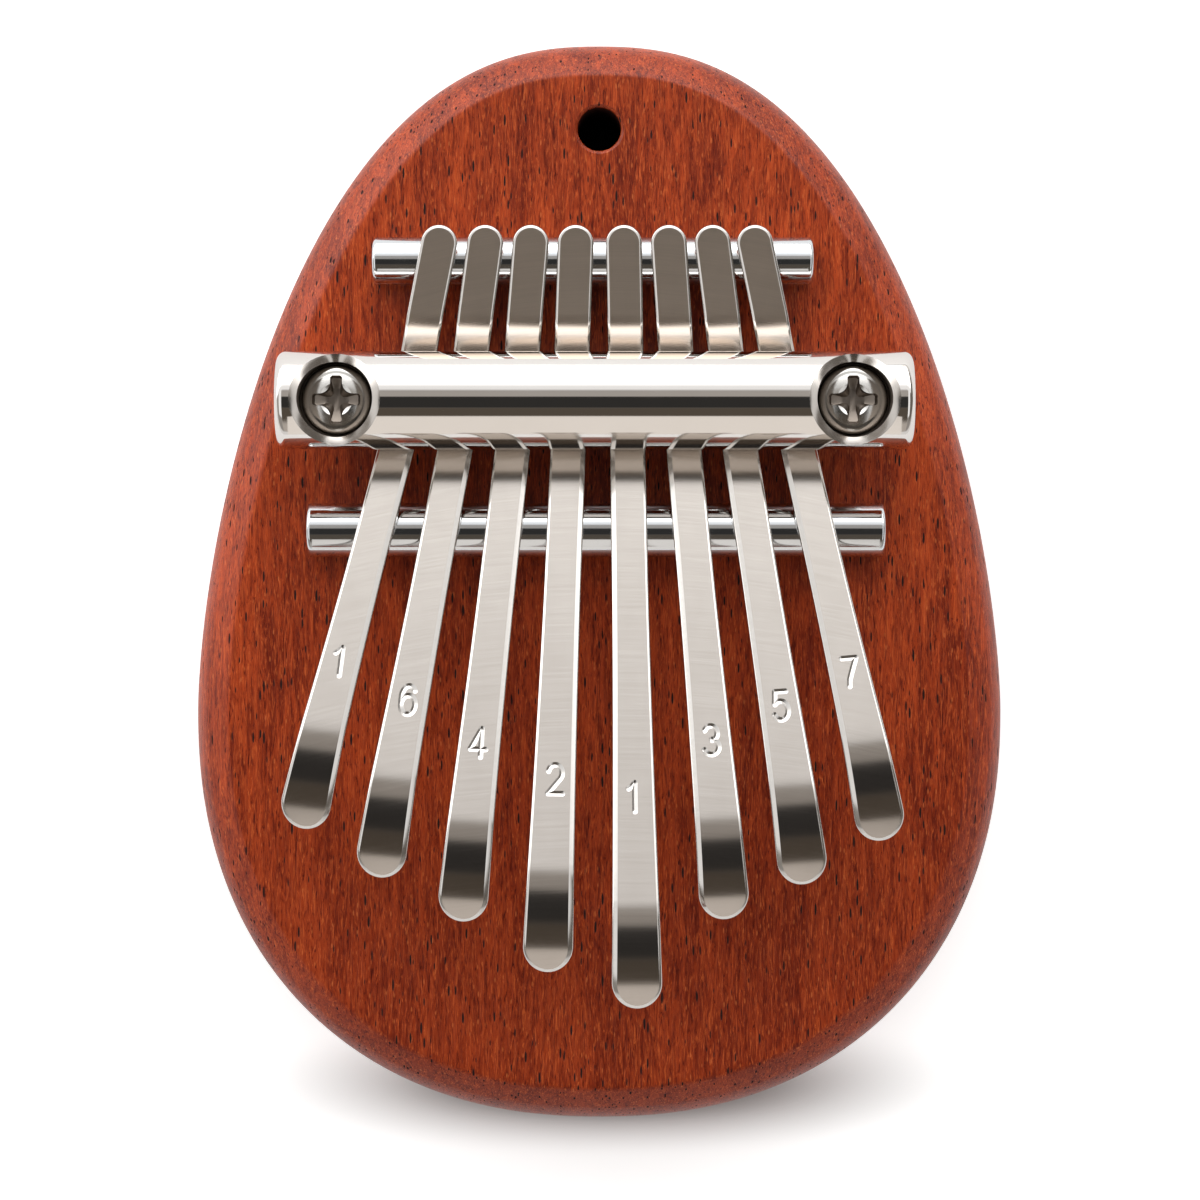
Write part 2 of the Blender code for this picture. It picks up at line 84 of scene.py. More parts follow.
TINE_THICKNESS = 0.0010
TINE_WIDTH = 0.0033
TIP_WIDTH = 0.0045
OUTER_CHAMFER = 0.00048
INNER_CHAMFER = 0.00026
CHAMFER_SLOPE = math.radians(23)
SHOULDER_ROUND = 0.00020  # rounding between a chamfer and the side below it
LOWER_EDGE = 0.00012
TAIL_LENGTH = 0.0031
SPEAKING_LENGTHS = (0.02670, 0.03100, 0.03485, 0.03925, 0.04240, 0.03465, 0.03160, 0.02775)
TAIL_GAPS = (0.00090, 0.00085, 0.00080, 0.00110, 0.00080, 0.00070, 0.00055)
BAR_GAPS = (0.00180, 0.00165, 0.00150, 0.00190, 0.00155, 0.00160, 0.00175)
TIP_GAPS = (0.00235, 0.00285, 0.00305, 0.00340, 0.00325, 0.00250, 0.00250)
TAIL_ROW_X = -0.0002
BAR_ROW_X = -0.0001
TIP_ROW_X = -0.0006
FLARE_POWER = 1.6
TIP_BEND_LENGTH = 0.0092
TIP_BEND_RADIUS = 0.0120
FLEX_LENGTH = 0.014  # stretch of the blade in front of the rod, laid out with more stations
VALLEY_SLOPE = math.radians(6)  # of a tine under the rear half of the bar
DIP_START = 0.0046  # the tine rises in a steep step between these distances behind the bar
DIP_END = 0.0076
DIP_SLOPE = math.radians(24)
DIP_SOFTENING = 0.0006

SCREW_RADIUS = 0.00175
SCREW_CORE_RADIUS = 0.00125
THREAD_PITCH = 0.0013
SCREW_TAPER = 0.0035
SCREW_POINT_SHARE = 0.12  # of the full radius, at the very point
THREAD_FLANK = 0.24  # share of the pitch
THREAD_SIDES = 36
THREAD_RINGS = 14  # in each pitch
PLAIN_LENGTH = 0.0028  # shank without a thread, under the head
PLAIN_RISE = 0.4  # share of the thread's height by which it stands above the core
HEAD_HEIGHT = 0.0023
HEAD_DOME_RADIUS = 0.0066
HEAD_SHOULDER_WIDTH = 0.00080
HEAD_SHOULDER_DEPTH = 0.0009
RECESS_REACH = 0.00218
RECESS_ARM = 0.00108
RECESS_WEB = 0.00100  # fillet between two arms of the cross
RECESS_DEPTH = 0.0015
RECESS_END_CUT = 0.16  # share of an arm's width cut off the corners at its end
RECESS_TAPER = ((0.50, 0.55, 0.35, 1.0), (0.90, 0.92, 0.90, 0.72), (1.0, 1.0, 1.0, 0.30))
RECESS_FLARE_RADIUS = 0.00190
RECESS_FLARE_DEPTH = 0.00040

# Note numbers on the tines, from left to right, and their places along the blades
NOTES = ("1", "6", "4", "2", "1", "3", "5", "7")
NOTE_HEIGHT = 0.0029
NOTE_WIDTH = 0.0016
STROKE_WIDTH = 0.00051
STROKE_DEPTH = 0.00013
STROKE_STEP = 0.00015
STROKE_LEAN = (-0.00008, 0.00004)  # the groove's bottom lies nearer to its upper left edge
MITRE_LIMIT = 0.35  # a stroke widens at a sharp bend to 1 / 0.35 at most
NOTE_LEAN = 0.45  # share of a blade's turn that its figure follows
NOTE_CENTRES = (
    (-0.02335, -0.00755), (-0.01715, -0.01100), (-0.01085, -0.01480), (-0.00393, -0.01802),
    (0.00312, -0.01960), (0.01008, -0.01457), (0.01632, -0.01150), (0.02262, -0.00850),
)

# Angles in degrees from which the edges of a piece stay crisp
CUTTER_CREASE = 32.0
BOARD_CREASE = 29.0
BAR_CREASE = 24.0
SCREW_CREASE = 40.0
RECESS_CREASE = 28.0
TINE_CREASE = 16.0

# The painted soft shadow on the floor in front of the board's broad end
SHADOW_CENTRE = (0.001, -0.0482, 0.0)
SHADOW_REACH = (0.040, 0.0072, 1.0)
SHADOW_FADE = (0.25, 1.0)  # shares of that reach
SHADOW_CORE = (0.10, 0.62)
UNDER_BOARD = (0.88, 0.97)  # shares of the board's size where the painted shade below it ends
FLOOR_REACH = 3.0
FLOOR_GLOW = (0.60, 0.60, 0.60)
REFLECTED_FLOOR = 0.25  # share of the glow that the metal reflects
CAMERA_PLACE = (0.00007, -0.00173, 0.38357)
CAMERA_LENS = 120.0  # mm
CAMERA_SENSOR = 36.0  # mm
CAMERA_NEAR = 0.01

MM_PER_METRE = 1000.0


class Signal:
    """An output of a shader node that takes part in Python sums and products."""

    def __init__(self, tree, socket):
        self.tree = tree
        self.socket = socket

    def maths(self, operation, *values):
        """The result of an operation on this signal and the values."""
        return operate(self.tree, operation, self, *values)

    def __add__(self, other):
        return self.maths("ADD", other)

    __radd__ = __add__

    def __sub__(self, other):
        return self.maths("SUBTRACT", other)

    def __mul__(self, other):
        return self.maths("MULTIPLY", other)

    def __rsub__(self, other):
        return operate(self.tree, "SUBTRACT", other, self)

    def step(self, start, end):
        """0 before start and 1 after end, with a soft passage."""
        settings = {"interpolation_type": "SMOOTHSTEP"}
        sockets = {"Value": self, "From Min": start, "From Max": end}
        return add_node(self.tree, "ShaderNodeMapRange", settings, sockets)


def add_node(tree, kind, settings=None, sockets=None, output=0):
    """Add a node: its settings, then the values or signals of its sockets."""
    node = tree.nodes.new(kind)
    for name, value in (settings or {}).items():
        setattr(node, name, value)
    for name, value in (sockets or {}).items():
        feed(node.inputs[name], value)
    return Signal(tree, node.outputs[output])


def operate(tree, operation, *values):
    """The result of a sum, product or other operation on signals and numbers."""
    return add_node(tree, "ShaderNodeMath", {"operation": operation}, dict(enumerate(values)))


def feed(socket, value):
    """Link a signal to the socket, or set the socket's own value; a colour comes without alpha."""
    if isinstance(value, Signal):
        value.tree.links.new(value.socket, socket)
    elif socket.type == "RGBA":
        socket.default_value = (*value, 1.0)
    else:
        socket.default_value = value


def dress(shader, colour, roughness):
    feed(shader.inputs["Base Color"], colour)
    feed(shader.inputs["Roughness"], roughness)


def mix_colours(tree, share, first, second):
    """First where share is 0, second where it is 1."""
    share_socket, first_socket, second_socket, colour_output = 0, 6, 7, 2
    sockets = {share_socket: share, first_socket: first, second_socket: second}
    return add_node(tree, "ShaderNodeMix", {"data_type": "RGBA"}, sockets, colour_output)


def vector_maths(tree, operation, first, second=(0.0, 0.0, 0.0), output=0):
    settings = {"operation": operation}
    return add_node(tree, "ShaderNodeVectorMath", settings, {0: first, 1: second}, output)


def part_of(tree, place, axis):
    """The X, Y or Z share of a place or direction."""
    return add_node(tree, "ShaderNodeSeparateXYZ", None, {0: place}, axis)


def object_place(tree):
    return add_node(tree, "ShaderNodeTexCoord", output="Object")


def place_in_mm(tree, stretch, turn=0.0):
    """Position in the object in millimetres, turned about Z and stretched along each axis."""
    sockets = {"Vector": object_place(tree), "Rotation": (0.0, 0.0, turn)}
    turned_place = add_node(tree, "ShaderNodeMapping", {"vector_type": "POINT"}, sockets)
    scale = tuple(MM_PER_METRE * value for value in stretch)
    return vector_maths(tree, "MULTIPLY", turned_place, scale)


def noise(tree, stretch, detail, roughness, distortion=0.0, turn=0.0):
    """Soft noise over the object, with its waves per millimetre along each axis."""
    sockets = {"Vector": place_in_mm(tree, stretch, turn), "Scale": 1.0, "Detail": detail,
               "Roughness": roughness, "Distortion": distortion}
    return add_node(tree, "ShaderNodeTexNoise", None, sockets)


def new_finish(name, metallic):
    """A material, its node tree and its Principled shader."""
    material = bpy.data.materials.new(name)
    material.use_nodes = True
    shader = material.node_tree.nodes["Principled BSDF"]
    shader.inputs["Metallic"].default_value = metallic
    return material, material.node_tree, shader


def relief(tree, height, depth):
    """A bump whose height signal of 1 stands for this depth in metres."""
    sockets = {"Height": height, "Distance": depth, "Strength": 1.0}
    return add_node(tree, "ShaderNodeBump", None, sockets)


def cells(tree, stretch):
    """Distance from the nearest cell's centre, and the cell's own random size from 0 to 1."""
    settings = {"feature": "F1", "distance": "EUCLIDEAN"}
    sockets = {"Vector": place_in_mm(tree, stretch), "Scale": 1.0}
    distance = add_node(tree, "ShaderNodeTexVoronoi", settings, sockets)
    colour = add_node(tree, "ShaderNodeTexVoronoi", settings, sockets, "Color")
    return distance, add_node(tree, "ShaderNodeSeparateColor", None, {0: colour})


def red_brown_hardwood():
    """Satin hardwood: streaks and fibres along the board, pores, flecks and a darker broad end."""
    material, tree, shader = new_finish("red_brown_hardwood", 0.0)
    shader.inputs["Specular IOR Level"].default_value = 0.33
    broad = noise(tree, (0.16, 0.028, 0.16), 3.0, 0.55, 0.6)
    streaks = noise(tree, (1.0, 0.11, 1.0), 6.0, 0.66, 1.6)
    fibres = noise(tree, (4.8, 0.50, 4.8), 5.0, 0.70, 1.6)
    broad_end = 1.0 - part_of(tree, object_place(tree), "Y").step(-0.042, -0.004)
    pore_distance, pore_size = cells(tree, (3.1, 0.55, 3.1))
    fleck_distance, fleck_size = cells(tree, (2.6, 0.75, 2.6))
    pores = 1.0 - (pore_distance - pore_size.step(0.50, 1.0) * 0.31).step(-0.05, 0.04)
    flecks = (1.0 - (fleck_distance - fleck_size * 0.12).step(0.0, 0.14)) * fleck_size.step(0.4, 0.7)

    tone = (streaks * 0.65 + broad * 0.35).step(0.37, 0.63) * (1.0 - broad_end * 0.4)
    body = mix_colours(tree, tone, (0.190, 0.017, 0.0036), (0.500, 0.064, 0.0125))
    dark_fibres = mix_colours(tree, fibres.step(0.33, 0.49), (0.085, 0.006, 0.0016), body)
    fibre_tone = mix_colours(tree, fibres.step(0.50, 0.68) * 0.80, dark_fibres, (0.68, 0.130, 0.030))
    flecked = mix_colours(tree, flecks * 0.55, fibre_tone, (0.70, 0.175, 0.050))
    pored = mix_colours(tree, pores, flecked, (0.012, 0.0015, 0.0006))
    dress(shader, pored, 0.24 + fibres * 0.12 + pores * 0.5)
    height = fibres * 0.4 + streaks * 0.2 - pores * 0.3
    feed(shader.inputs["Normal"], relief(tree, height, 0.00007))
    return material


def hole_grain_painted_shade():
    """Wall of the hanging hole: sealed end grain, painted much darker than the face as the shade
    inside the hole.
    """
    material, tree, shader = new_finish("hole_grain_painted_shade", 0.0)
    rings = noise(tree, (2.5, 2.5, 0.6), 3.0, 0.6)
    dress(shader, mix_colours(tree, rings, (0.030, 0.006, 0.003), (0.060, 0.012, 0.006)), 0.6)
    return material


def clouded_metal(name, stretch, dark, light, roughness, spread, grain=0.6):
    """A metal whose colour and roughness follow one noise."""
    material, tree, shader = new_finish(name, 1.0)
    marks = noise(tree, stretch, 3.0, grain)
    dress(shader, mix_colours(tree, marks, dark, light), roughness + marks * spread)
    return material


def drawn_chrome(name, mark_stretch, haze_stretch, dark, light, roughness, mark_spread, haze_spread):
    """Bright plating with drawing marks along the piece and patches of haze."""
    material, tree, shader = new_finish(name, 1.0)
    marks = noise(tree, mark_stretch, 3.0, 0.6)
    haze = noise(tree, haze_stretch, 3.0, 0.5)
    hazy = haze.step(0.45, 0.7) * haze_spread
    dress(shader, mix_colours(tree, haze, dark, light), roughness + marks * mark_spread + hazy)
    return material


def polished_bar_chrome():
    """Bar: warm bright plating with the faintest marks."""
    return drawn_chrome("chromed_bar", (0.05, 3.0, 3.0), (0.25, 0.25, 0.25),
                        (0.80, 0.765, 0.73), (0.84, 0.81, 0.78), 0.035, 0.035, 0.02)


def cool_rod_chrome():
    """Rods: a cooler plating with soft drawing marks."""
    return drawn_chrome("chromed_rods", (0.08, 5.0, 5.0), (0.4, 0.4, 0.4),
                        (0.72, 0.74, 0.76), (0.78, 0.80, 0.82), 0.06, 0.06, 0.03)


def rolled_rim_chrome():
    """Lips of the counterbores, greyer and softer than the bar where the tool rolled them."""
    return clouded_metal("rolled_rim_chrome", (1.2, 1.2, 1.2),
                         (0.56, 0.52, 0.48), (0.64, 0.60, 0.56), 0.20, 0.05, grain=0.5)


def recess_shade_steel():
    """Inside of drilled and pressed hollows: steel painted much darker than the plating, as the shade
    in these recesses.
    """
    return clouded_metal("recess_shade_steel", (1.0, 1.0, 9.0),
                         (0.230, 0.195, 0.165), (0.330, 0.285, 0.245), 0.34, 0.15)


def ground_edge_steel():
    """Chamfers and sides of the tines, ground smoother than their faces."""
    return clouded_metal("ground_edge_steel", (2.0, 2.0, 2.0),
                         (0.640, 0.605, 0.570), (0.720, 0.690, 0.655), 0.09, 0.08)


def engraved_steel():
    """Grooves of the note numbers: fresh metal with a soft shine."""
    return clouded_metal("engraved_steel", (4.0, 4.0, 4.0),
                         (0.660, 0.630, 0.600), (0.720, 0.695, 0.665), 0.22, 0.06)


def brushed_spring_steel(number, turn):
    """A tine's satin steel: fine brush lines across its own width, and a duller tail painted lighter
    and warmer as a sheen.
    """
    material, tree, shader = new_finish("spring_steel_" + str(number), 1.0)
    lines = noise(tree, (0.12, 10.0, 0.5), 2.0, 0.7, turn=turn)
    broad_lines = noise(tree, (0.10, 1.8, 0.4), 3.0, 0.6, turn=turn)
    cloud = noise(tree, (0.35, 0.12, 0.35), 2.0, 0.5, turn=turn)
    tail = part_of(tree, object_place(tree), "Y").step(0.0225, 0.0245)
    tone = (lines * 0.45 + broad_lines * 0.25 + cloud * 0.3).step(0.25, 0.75)
    blade_colour = mix_colours(tree, tone, (0.530, 0.487, 0.446), (0.600, 0.555, 0.514))
    # Painted sheen: the tail's colour is lighter and warmer than the blade's, for the light it
    # reflects; its extra roughness is its own
    tail_colour = mix_colours(tree, tone, (0.700, 0.585, 0.480), (0.790, 0.660, 0.545))
    colour = mix_colours(tree, tail, blade_colour, tail_colour)
    dress(shader, colour, 0.13 + lines * 0.04 + broad_lines * 0.02 + tail * 0.20)
    feed(shader.inputs["Normal"], relief(tree, lines * 0.6 + broad_lines, 0.0000008))
    return material


def plated_screw_steel():
    """Screws: bright plating with a fine speckle."""
    material, tree, shader = new_finish("screw_steel", 1.0)
    speckle = noise(tree, (3.0, 3.0, 3.0), 4.0, 0.6)
    colour = mix_colours(tree, speckle, (0.62, 0.60, 0.57), (0.70, 0.68, 0.65))
    dress(shader, colour, 0.14 + speckle * 0.10)
    feed(shader.inputs["Normal"], relief(tree, speckle, 0.000003))
    return material


def shade(mesh, crease):
    """Smooth faces, with crisp edges where they meet at more than this angle in degrees."""
    mesh.shade_smooth()
    mesh.set_sharp_from_angle(angle=math.radians(crease))


def part_finishes(mesh):
    """Keep a crisp edge wherever two finishes meet."""
    builder = bmesh.new()
    builder.from_mesh(mesh)
    for edge in builder.edges:
        if len({face.material_index for face in edge.link_faces}) > 1:
            edge.smooth = False
    builder.to_mesh(mesh)
    builder.free()


def new_piece(name, builder, finish=None, crease=CUTTER_CREASE):
    """Turn a bmesh into an object with outward faces."""
    bmesh.ops.recalc_face_normals(builder, faces=builder.faces)
    mesh = bpy.data.meshes.new(name)
    builder.to_mesh(mesh)
    builder.free()
    shade(mesh, crease)
    if finish is not None:
        mesh.materials.append(finish)
    piece = bpy.data.objects.new(name, mesh)
    bpy.context.scene.collection.objects.link(piece)
    return piece


def carve(piece, cutters, crease):
    """Cut closed shapes out of a piece and leave one plain mesh."""
    for cutter in cutters:
        cut = piece.modifiers.new("cut", "BOOLEAN")
        cut.operation = "DIFFERENCE"
        cut.solver = "EXACT"
        cut.material_mode = "TRANSFER"
        cut.object = cutter
    bpy.context.view_layer.update()
    evaluated = piece.evaluated_get(bpy.context.evaluated_depsgraph_get())
    carved = bpy.data.meshes.new_from_object(evaluated)
    piece.modifiers.clear()
    uncut = piece.data
    piece.data = carved
    bpy.data.meshes.remove(uncut)
    for cutter in cutters:
        used = cutter.data
        bpy.data.objects.remove(cutter)
        bpy.data.meshes.remove(used)
    shade(carved, crease)
    part_finishes(carved)


def skin(rings):
    """A body open at both ends through rings of equal length, and its loops of corners."""
    builder = bmesh.new()
    loops = [[builder.verts.new(point) for point in ring] for ring in rings]
    for lower, upper in zip(loops, loops[1:]):
        for index, corner in enumerate(lower):
            builder.faces.new((lower[index - 1], corner, upper[index], upper[index - 1]))
    return builder, loops


def loft(rings):
    """A closed body through rings of equal length, with a flat cap at each end."""
    builder, loops = skin(rings)
    builder.faces.new(reversed(loops[0]))
    builder.faces.new(loops[-1])
    return builder


def turned(profile, steps, place):
    """Turn (along, radius) points; place sets each (along, turn angle, radius) point."""
    rings = []
    for along, radius in profile:
        if radius > 0.0:
            rings.append([place(along, math.tau * step / steps, radius) for step in range(steps)])
    builder, loops = skin(rings)
    for (along, radius), loop, order in ((profile[0], loops[0], -1), (profile[-1], loops[-1], 1)):
        if radius > 0.0:
            builder.faces.new(loop[::order])
            continue
        tip = builder.verts.new(place(along, 0.0, 0.0))
        for index, corner in enumerate(loop):
            builder.faces.new((loop[index - 1], corner, tip)[::order])
    return builder


def along_x(x, y, z):
    """Placing for a piece turned about a line parallel to X."""
    def place(along, turn, radius):
        return x + along, y + radius * math.cos(turn), z + radius * math.sin(turn)
    return place


def along_z(x, y):
    """Placing for a piece turned about a vertical line."""
    def place(along, turn, radius):
        return x + radius * math.cos(turn), y + radius * math.sin(turn), along
    return place


def hand_over(piece, node, body):
    """Let a piece ride on its body in the place of a CAD node."""
    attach(piece, body)
    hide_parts(node)


def arc(centre, radii, start, end, steps):
    """Points on an ellipse, angles in degrees anticlockwise."""
    points = []
    for step in range(steps + 1):
        turn = math.radians(start + (end - start) * step / steps)
        points.append((centre[0] + radii[0] * math.cos(turn), centre[1] + radii[1] * math.sin(turn)))
    return points


def signed_power(value, power):
    return math.copysign(abs(value) ** power, value)


def egg_outline(steps):
    """The board in plan: two superellipse halves that share their widest line."""
    outline = []
    for step in range(steps):
        turn = math.tau * step / steps
        if step <= steps / 2:
            reach = BOARD_LENGTH / 2 - WIDEST_Y
            across, along = NARROW_ACROSS_POWER, NARROW_ALONG_POWER
        else:
            reach = BOARD_LENGTH / 2 + WIDEST_Y
            across, along = BROAD_ACROSS_POWER, BROAD_ALONG_POWER
        x = BOARD_WIDTH / 2 * signed_power(math.cos(turn), 2 / across)
        y = WIDEST_Y + reach * signed_power(math.sin(turn), 2 / along)
        outline.append((x, y))
    return outline


def inset_ring(outline, inset, z):
    """The outline moved inwards by the inset, at height z."""
    ring = []
    for index, (x, y) in enumerate(outline):
        before = outline[index - 1]
        after = outline[(index + 1) % len(outline)]
        along = Vector((after[0] - before[0], after[1] - before[1])).normalized()
        ring.append((x - along.y * inset, y + along.x * inset, z))
    return ring


def board_edge():
    """Section of the board's edge as (inset, height), from the flat back to the playing face."""
    section = [(BACK_ROUND + BEVEL_WIDTH, 0.0), (BACK_ROUND + BEVEL_SOFTENING, 0.0)]
    section += arc((BACK_ROUND, BACK_ROUND), (BACK_ROUND, BACK_ROUND), 270, 180, 10)
    shoulder_top = BOARD_THICKNESS - BEVEL_DEPTH
    shoulder_steps = 10
    shoulder_end = math.radians(45)
    for step in range(shoulder_steps + 1):
        turn = shoulder_end * step / shoulder_steps
        inset = SIDE_ROUND_WIDTH * (1 - math.cos(turn)) / (1 - math.cos(shoulder_end))
        rise = SIDE_ROUND_DEPTH * math.sin(turn) / math.sin(shoulder_end)
        section.append((inset, shoulder_top - SIDE_ROUND_DEPTH + rise))
    face_inset = SIDE_ROUND_WIDTH + BEVEL_WIDTH
    soft_steps = 5
    soft_start = 1 - BEVEL_SOFTENING / BEVEL_WIDTH
    for step in range(soft_steps + 1):
        share = step / soft_steps
        run = soft_start + (1 - soft_start) * 2 * share
        rise = soft_start + (1 - soft_start) * (2 * share - share * share)
        section.append((SIDE_ROUND_WIDTH + BEVEL_WIDTH * run, shoulder_top + BEVEL_DEPTH * rise))
    section.append((face_inset + 3 * BEVEL_SOFTENING, BOARD_THICKNESS))
    return section


def rod_at(node):
    """Middle, half length and radius of a round CAD piece that lies along X."""
    low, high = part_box(node)
    return (low + high) / 2, (high.x - low.x) / 2, (high.z - low.z) / 2


def rod_profile(half_length, radius, end_round, round_steps):
    """Section of a rod with rounded ends as (along, radius), from end to end."""
    profile = [(-half_length, 0.0)]
    centre = (end_round - half_length, radius - end_round)
    profile += arc(centre, (end_round, end_round), 180, 90, round_steps)
    # One more ring keeps the shading of the long side even
    profile.append((1.5 * end_round - half_length, radius))
    return profile + [(-along, height) for along, height in reversed(profile)]


def line_bore(cutter, x, y, radius, hollow_shade):
    """Let the cutter leave the finish painted dark as shade on the walls and floors within this
    radius.
    """
    cutter.data.materials.append(hollow_shade)
    for face in cutter.data.polygons:
        reach = math.hypot(face.center.x - x, face.center.y - y)
        face.material_index = 1 if reach < radius + FIT_GAP else 0


def make_sound_board(finish, grain_and_hole_shade):
    outline = egg_outline(steps=360)
    rings = [inset_ring(outline, inset, z) for inset, z in board_edge()]
    board = new_piece("egg_sound_board", loft(rings), finish, BOARD_CREASE)
    top = BOARD_THICKNESS
    lip = [(HOLE_CHAMFER * depth, HOLE_RADIUS + HOLE_CHAMFER * wider) for depth, wider in HOLE_LIP]
    hole = lip + [(top - height, radius) for height, radius in reversed(lip)]
    hanging_hole = new_piece("hanging_hole", turned(hole, 64, along_z(0.0, HOLE_Y)), finish)
    # The hole's wall takes the end grain painted dark as the shade inside the hole
    line_bore(hanging_hole, 0.0, HOLE_Y, HOLE_RADIUS, grain_and_hole_shade)
    cutters = [hanging_hole]
    for node in ("front_bridge_rod", "rear_bridge_rod"):
        middle, half_length, radius = rod_at(node)
        profile = rod_profile(half_length + GAP / 2, radius + GAP / 2, ROD_END_ROUND, 4)
        cutters.append(new_piece(node + "_groove", turned(profile, 96, along_x(*middle))))
    for node in ("clamp_screw_left", "clamp_screw_right"):
        low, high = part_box(node)
        middle = (low + high) / 2
        pilot = (
            (low.z - GAP, SCREW_CORE_RADIUS),
            (low.z + SCREW_TAPER, SCREW_RADIUS + GAP / 2),
            (top - GAP, SCREW_RADIUS + GAP / 2),
            (top + GAP, SCREW_RADIUS + GAP),
        )
        cutters.append(new_piece(node + "_pilot", turned(pilot, 48, along_z(middle.x, middle.y))))
    carve(board, cutters, BOARD_CREASE)
    hand_over(board, "sound_board", "clamped_board")


def make_rods(finish):
    for node, name in (("front_bridge_rod", "front_rod"), ("rear_bridge_rod", "rear_rod")):
        middle, half_length, radius = rod_at(node)
        profile = rod_profile(half_length, radius, ROD_END_ROUND, 8)
        rod = new_piece(name, turned(profile, 128, along_x(*middle)), finish)
        hand_over(rod, node, "clamped_board")


def counterbore(screw_x, bar_y, bar_z, bar_radius, bore_radius, finish, hollow_shade):
    """Cutter for one screw: clearance hole, seat, bore and saddle-shaped rim."""
    steps = 128
    seat_z = bar_z + bar_radius - COUNTERBORE_DEPTH
    clearance = SCREW_RADIUS + GAP
    rim_radius = bore_radius + RIM_WIDTH
    # Rounded lip as (share of the rim's width, drop as a share of its depth)
    lip = [(step / LIP_STEPS, (1 - step / LIP_STEPS) ** LIP_POWER) for step in range(LIP_STEPS + 1)]
    place = along_z(screw_x, bar_y)
    rings = []
    foot_z = bar_z - bar_radius - GAP
    for radius, z in ((clearance, foot_z), (clearance, seat_z), (bore_radius, seat_z)):
        rings.append([place(z, math.tau * step / steps, radius) for step in range(steps)])
    for share, drop in (*lip, LIP_END):
        ring = []
        for step in range(steps):
            turn = math.tau * step / steps
            rim_rise = math.sqrt(bar_radius ** 2 - (rim_radius * math.sin(turn)) ** 2)
            z = bar_z + rim_rise - RIM_DEPTH * drop
            ring.append(place(z, turn, bore_radius + RIM_WIDTH * share))
        rings.append(ring)
    rings.append([(x, y, bar_z + bar_radius + 2 * GAP) for x, y, z in rings[-1]])
    cutter = new_piece("counterbore", loft(rings), finish)
    # The bore's walls and seat take the finish painted dark as their shade
    line_bore(cutter, screw_x, bar_y, bore_radius, hollow_shade)
    return cutter


def make_pressure_bar(finish, rim, hollow_shade):
    middle, half_length, radius = rod_at("pressure_bar")
    profile = rod_profile(half_length, radius, BAR_END_ROUND, 12)
    bar = new_piece("round_pressure_bar", turned(profile, 192, along_x(*middle)), finish)
    cutters = []
    for node in ("clamp_screw_left", "clamp_screw_right"):
        screw_low, screw_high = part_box(node)
        bore_radius = (screw_high.x - screw_low.x) / 2 + 2 * GAP / 3
        screw_x = (screw_low.x + screw_high.x) / 2
        cutters.append(counterbore(screw_x, middle.y, middle.z, radius, bore_radius, rim, hollow_shade))
    carve(bar, cutters, BAR_CREASE)
    hand_over(bar, "pressure_bar", "clamped_board")


def cross_outline(reach, arm, web, place, z):
    """Outline of a cross recess with filleted inner corners, at one level."""
    side = arm / 2
    end_cut = arm * RECESS_END_CUT
    middle = side + web
    corners = [(reach, -side + end_cut), (reach, side - end_cut), (reach - end_cut, side)]
    corners += arc((middle, middle), (web, web), 270, 180, 8)
    corners.append((side, reach - end_cut))
    ring = []
    for quarter in range(4):
        facing = math.radians(90) * quarter
        for x, y in corners:
            ring.append(place(z, math.atan2(y, x) + facing, math.hypot(x, y)))
    return ring


def head_profile(seat_z, crown_z, head_radius):
    """Section of a pan head as (height, radius): seat, steep round shoulder and low dome."""
    dome_steps = 24
    dome_reach = head_radius - HEAD_SHOULDER_WIDTH
    dome_foot = HEAD_DOME_RADIUS - math.sqrt(HEAD_DOME_RADIUS ** 2 - dome_reach ** 2)
    shoulder_z = crown_z - dome_foot - HEAD_SHOULDER_DEPTH
    profile = [(seat_z, SCREW_CORE_RADIUS), (seat_z, head_radius - 2 * FIT_GAP),
               (seat_z + 2 * FIT_GAP, head_radius), (shoulder_z, head_radius)]
    start = math.asin(dome_reach / HEAD_DOME_RADIUS)
    shoulder = arc((shoulder_z, dome_reach), (HEAD_SHOULDER_DEPTH, HEAD_SHOULDER_WIDTH), 90, 0, 10)
    profile += shoulder[1:-1]
    for step in range(dome_steps + 1):
        turn = start * (1 - step / dome_steps)
        sink = HEAD_DOME_RADIUS * (1 - math.cos(turn))
        profile.append((crown_z - sink, HEAD_DOME_RADIUS * math.sin(turn)))
    return profile


def cross_recess(crown_z, place, finish, hollow_shade):
    """Cutters for the driver's cross: tapering walls in the finish painted dark as shade, and a
    shallow flare between the arms.
    """
    rings = []
    # Shares of the cross's reach, arm width, fillet and depth, from the bottom up
    for reach, arm, web, depth in RECESS_TAPER:
        size = (RECESS_REACH * reach, RECESS_ARM * arm, RECESS_WEB * web)
        rings.append(cross_outline(*size, place, crown_z - RECESS_DEPTH * depth))
    rings.append(cross_outline(RECESS_REACH, RECESS_ARM, RECESS_WEB, place, crown_z + GAP))
    rise = (GAP + RECESS_FLARE_DEPTH) / RECESS_FLARE_DEPTH
    flare_top = (crown_z + GAP, RECESS_FLARE_RADIUS * (1 + rise) / 2)
    flare = turned(((crown_z - RECESS_FLARE_DEPTH * 2, 0.0), flare_top), 64, place)
    return [new_piece("flare", flare, finish), new_piece("cross", loft(rings), hollow_shade)]


